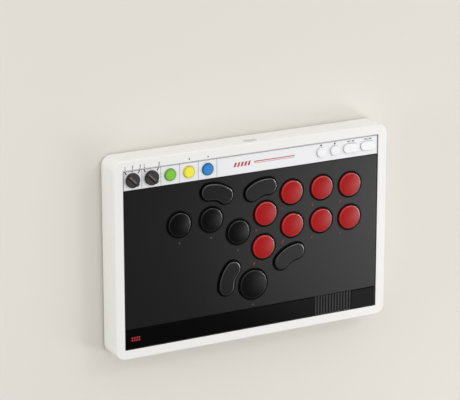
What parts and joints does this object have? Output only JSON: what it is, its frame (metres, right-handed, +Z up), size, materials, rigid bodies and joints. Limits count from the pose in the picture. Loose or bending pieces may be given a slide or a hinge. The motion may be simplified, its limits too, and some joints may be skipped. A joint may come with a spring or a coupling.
{
  "type": "all-button arcade controller",
  "caption": "Desktop all-button arcade controller: white-rimmed flat case, charcoal face with sprung round and bean-shaped buttons, and a strip of rotary knobs and small buttons.",
  "frame": {"origin": "centre of the case on the plane that the rubber feet stand on", "axes": "+X to the player's right, +Y to the back edge with the white strip and the socket, +Z up out of the face"},
  "size_m": [0.3, 0.2, 0.0336],
  "materials": {
    "white_shell": "fine satin moulded plastic",
    "white_strip": "satin white plastic",
    "cover": "textured black plastic",
    "panel": "matt charcoal",
    "band": "glossy near-black",
    "grille": "matt charcoal ribs",
    "ring": "near-black satin",
    "plate_steel": "zinc-plated sheet",
    "board": "green solder mask",
    "switch_body": "black nylon",
    "stem": "natural acetal",
    "spring_steel": "bright spring wire",
    "rotary_metal": "die-cast metal",
    "shaft_metal": "turned metal",
    "socket_metal": "plated shell",
    "screw_metal": "zinc-plated",
    "foot_rubber": "soft black rubber",
    "red_cap": "satin red plastic",
    "black_cap": "satin black plastic",
    "bean_cap": "satin charcoal plastic",
    "knob": "satin black plastic",
    "green_cap": "satin green plastic",
    "yellow_cap": "satin yellow plastic",
    "blue_cap": "satin blue plastic",
    "white_button": "satin white plastic"
  },
  "bodies": {
    "case": {"frame": "white_shell", "bottom_cover": "cover", "control_panel": "panel", "front_band": "band", "grille_insert": "grille", "top_strip": "white_strip", "button_rings": "ring", "switch_plate": "plate_steel", "main_board": "board", "switch_housings": "switch_body", "return_springs": "spring_steel", "top_board": "board", "tact_switches": "switch_body", "rotary_switches": "rotary_metal", "usb_socket": "socket_metal", "feet": "foot_rubber", "screws": "screw_metal"},
    "red_button_1": {"red_cap_1": "red_cap", "red_stem_1": "stem"},
    "red_button_2": {"red_cap_2": "red_cap", "red_stem_2": "stem"},
    "red_button_3": {"red_cap_3": "red_cap", "red_stem_3": "stem"},
    "red_button_4": {"red_cap_4": "red_cap", "red_stem_4": "stem"},
    "red_button_5": {"red_cap_5": "red_cap", "red_stem_5": "stem"},
    "red_button_6": {"red_cap_6": "red_cap", "red_stem_6": "stem"},
    "red_button_7": {"red_cap_7": "red_cap", "red_stem_7": "stem"},
    "red_button_8": {"red_cap_8": "red_cap", "red_stem_8": "stem"},
    "black_button_1": {"black_cap_1": "black_cap", "black_stem_1": "stem"},
    "black_button_2": {"black_cap_2": "black_cap", "black_stem_2": "stem"},
    "black_button_3": {"black_cap_3": "black_cap", "black_stem_3": "stem"},
    "thumb_button": {"thumb_cap": "black_cap", "thumb_stem": "stem"},
    "bean_button_1": {"bean_cap_1": "bean_cap", "bean_stem_1": "stem"},
    "bean_button_2": {"bean_cap_2": "bean_cap", "bean_stem_2": "stem"},
    "bean_button_3": {"bean_cap_3": "bean_cap", "bean_stem_3": "stem"},
    "bean_button_4": {"bean_cap_4": "bean_cap", "bean_stem_4": "stem"},
    "green_push": {"green_button": "green_cap"},
    "yellow_push": {"yellow_button": "yellow_cap"},
    "blue_push": {"blue_button": "blue_cap"},
    "round_push_1": {"round_button_1": "white_button"},
    "round_push_2": {"round_button_2": "white_button"},
    "pill_push_1": {"pill_button_1": "white_button"},
    "pill_push_2": {"pill_button_2": "white_button"},
    "left_dial": {"left_knob": "knob", "left_shaft": "shaft_metal"},
    "right_dial": {"right_knob": "knob", "right_shaft": "shaft_metal"}
  },
  "joints": [
    {"name": "red_press_1", "type": "slide", "parent": "case", "child": "red_button_1", "axis": [0, 0, -1], "range_m": [0, 0.0024], "stiffness_N_per_m": 90, "springref_m": -0.004, "deforming": ["return_springs"]},
    {"name": "red_press_2", "type": "slide", "parent": "case", "child": "red_button_2", "axis": [0, 0, -1], "range_m": [0, 0.0024], "stiffness_N_per_m": 90, "springref_m": -0.004, "deforming": ["return_springs"]},
    {"name": "red_press_3", "type": "slide", "parent": "case", "child": "red_button_3", "axis": [0, 0, -1], "range_m": [0, 0.0024], "stiffness_N_per_m": 90, "springref_m": -0.004, "deforming": ["return_springs"]},
    {"name": "red_press_4", "type": "slide", "parent": "case", "child": "red_button_4", "axis": [0, 0, -1], "range_m": [0, 0.0024], "stiffness_N_per_m": 90, "springref_m": -0.004, "deforming": ["return_springs"]},
    {"name": "red_press_5", "type": "slide", "parent": "case", "child": "red_button_5", "axis": [0, 0, -1], "range_m": [0, 0.0024], "stiffness_N_per_m": 90, "springref_m": -0.004, "deforming": ["return_springs"]},
    {"name": "red_press_6", "type": "slide", "parent": "case", "child": "red_button_6", "axis": [0, 0, -1], "range_m": [0, 0.0024], "stiffness_N_per_m": 90, "springref_m": -0.004, "deforming": ["return_springs"]},
    {"name": "red_press_7", "type": "slide", "parent": "case", "child": "red_button_7", "axis": [0, 0, -1], "range_m": [0, 0.0024], "stiffness_N_per_m": 90, "springref_m": -0.004, "deforming": ["return_springs"]},
    {"name": "red_press_8", "type": "slide", "parent": "case", "child": "red_button_8", "axis": [0, 0, -1], "range_m": [0, 0.0024], "stiffness_N_per_m": 90, "springref_m": -0.004, "deforming": ["return_springs"]},
    {"name": "black_press_1", "type": "slide", "parent": "case", "child": "black_button_1", "axis": [0, 0, -1], "range_m": [0, 0.0024], "stiffness_N_per_m": 90, "springref_m": -0.004, "deforming": ["return_springs"]},
    {"name": "black_press_2", "type": "slide", "parent": "case", "child": "black_button_2", "axis": [0, 0, -1], "range_m": [0, 0.0024], "stiffness_N_per_m": 90, "springref_m": -0.004, "deforming": ["return_springs"]},
    {"name": "black_press_3", "type": "slide", "parent": "case", "child": "black_button_3", "axis": [0, 0, -1], "range_m": [0, 0.0024], "stiffness_N_per_m": 90, "springref_m": -0.004, "deforming": ["return_springs"]},
    {"name": "thumb_press", "type": "slide", "parent": "case", "child": "thumb_button", "axis": [0, 0, -1], "range_m": [0, 0.0024], "stiffness_N_per_m": 90, "springref_m": -0.004, "deforming": ["return_springs"]},
    {"name": "bean_press_1", "type": "slide", "parent": "case", "child": "bean_button_1", "axis": [0, 0, -1], "range_m": [0, 0.0024], "stiffness_N_per_m": 90, "springref_m": -0.004, "deforming": ["return_springs"]},
    {"name": "bean_press_2", "type": "slide", "parent": "case", "child": "bean_button_2", "axis": [0, 0, -1], "range_m": [0, 0.0024], "stiffness_N_per_m": 90, "springref_m": -0.004, "deforming": ["return_springs"]},
    {"name": "bean_press_3", "type": "slide", "parent": "case", "child": "bean_button_3", "axis": [0, 0, -1], "range_m": [0, 0.0024], "stiffness_N_per_m": 90, "springref_m": -0.004, "deforming": ["return_springs"]},
    {"name": "bean_press_4", "type": "slide", "parent": "case", "child": "bean_button_4", "axis": [0, 0, -1], "range_m": [0, 0.0024], "stiffness_N_per_m": 90, "springref_m": -0.004, "deforming": ["return_springs"]},
    {"name": "green_press", "type": "slide", "parent": "case", "child": "green_push", "axis": [0, 0, -1], "range_m": [0, 0.0008], "stiffness_N_per_m": 500, "springref_m": -0.002},
    {"name": "yellow_press", "type": "slide", "parent": "case", "child": "yellow_push", "axis": [0, 0, -1], "range_m": [0, 0.0008], "stiffness_N_per_m": 500, "springref_m": -0.002},
    {"name": "blue_press", "type": "slide", "parent": "case", "child": "blue_push", "axis": [0, 0, -1], "range_m": [0, 0.0008], "stiffness_N_per_m": 500, "springref_m": -0.002},
    {"name": "round_press_1", "type": "slide", "parent": "case", "child": "round_push_1", "axis": [0, 0, -1], "range_m": [0, 0.0008], "stiffness_N_per_m": 500, "springref_m": -0.002},
    {"name": "round_press_2", "type": "slide", "parent": "case", "child": "round_push_2", "axis": [0, 0, -1], "range_m": [0, 0.0008], "stiffness_N_per_m": 500, "springref_m": -0.002},
    {"name": "pill_press_1", "type": "slide", "parent": "case", "child": "pill_push_1", "axis": [0, 0, -1], "range_m": [0, 0.0008], "stiffness_N_per_m": 500, "springref_m": -0.002},
    {"name": "pill_press_2", "type": "slide", "parent": "case", "child": "pill_push_2", "axis": [0, 0, -1], "range_m": [0, 0.0008], "stiffness_N_per_m": 500, "springref_m": -0.002},
    {"name": "left_turn", "type": "hinge", "parent": "case", "child": "left_dial", "pos_m": [-0.13, 0.08, 0.03], "axis": [0, 0, 1], "range_deg": [-90, 0]},
    {"name": "right_turn", "type": "hinge", "parent": "case", "child": "right_dial", "pos_m": [-0.11, 0.08, 0.03], "axis": [0, 0, 1], "range_deg": [-90, 0]}
  ]
}
